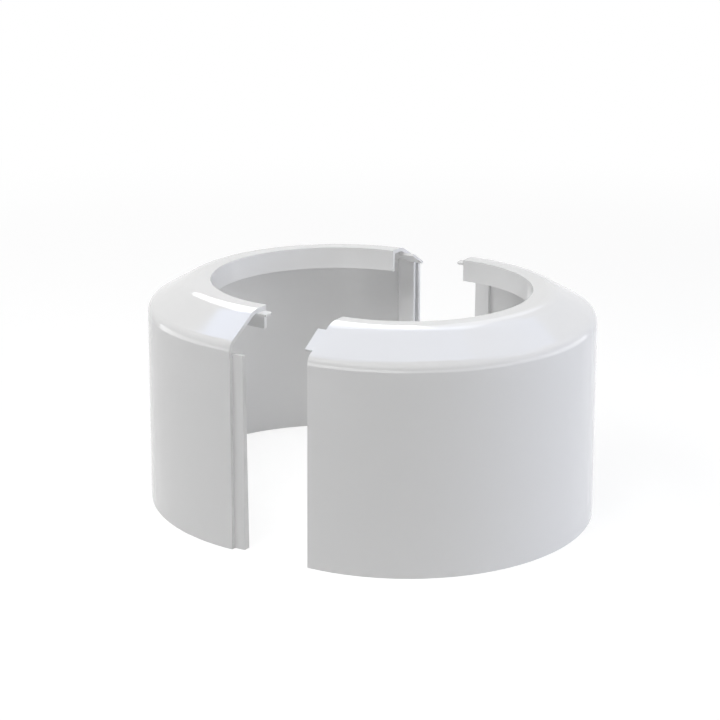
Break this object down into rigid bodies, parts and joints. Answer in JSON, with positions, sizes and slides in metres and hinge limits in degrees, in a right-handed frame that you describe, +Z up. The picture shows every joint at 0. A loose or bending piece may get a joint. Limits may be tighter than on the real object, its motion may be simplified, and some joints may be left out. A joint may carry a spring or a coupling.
{
  "type": "toilet pipe escutcheon",
  "caption": "Split white plastic escutcheon: a tall drafted skirt with a sloped shoulder, flat rim and bore collar, in halves that slide together round a waste pipe.",
  "frame": {"origin": "level with the foot of the skirt, midway between the bore axes of the halves as they lie apart", "axes": "+Z up along the bore axes, from the foot to the rim; +X from the left half to the right half, along which they part; +Y from the open joint in front to the one behind"},
  "size_m": [0.2056, 0.17, 0.1],
  "materials": {
    "white_plastic": "smooth moulded white with a soft sheen"
  },
  "bodies": {
    "left_half": {"left_half_shell": "white_plastic"},
    "right_half": {"right_half_shell": "white_plastic"}
  },
  "joints": [
    {"name": "closing_slide", "type": "slide", "parent": "left_half", "child": "right_half", "axis": [-1, 0, 0], "range_m": [0, 0.0366]}
  ]
}
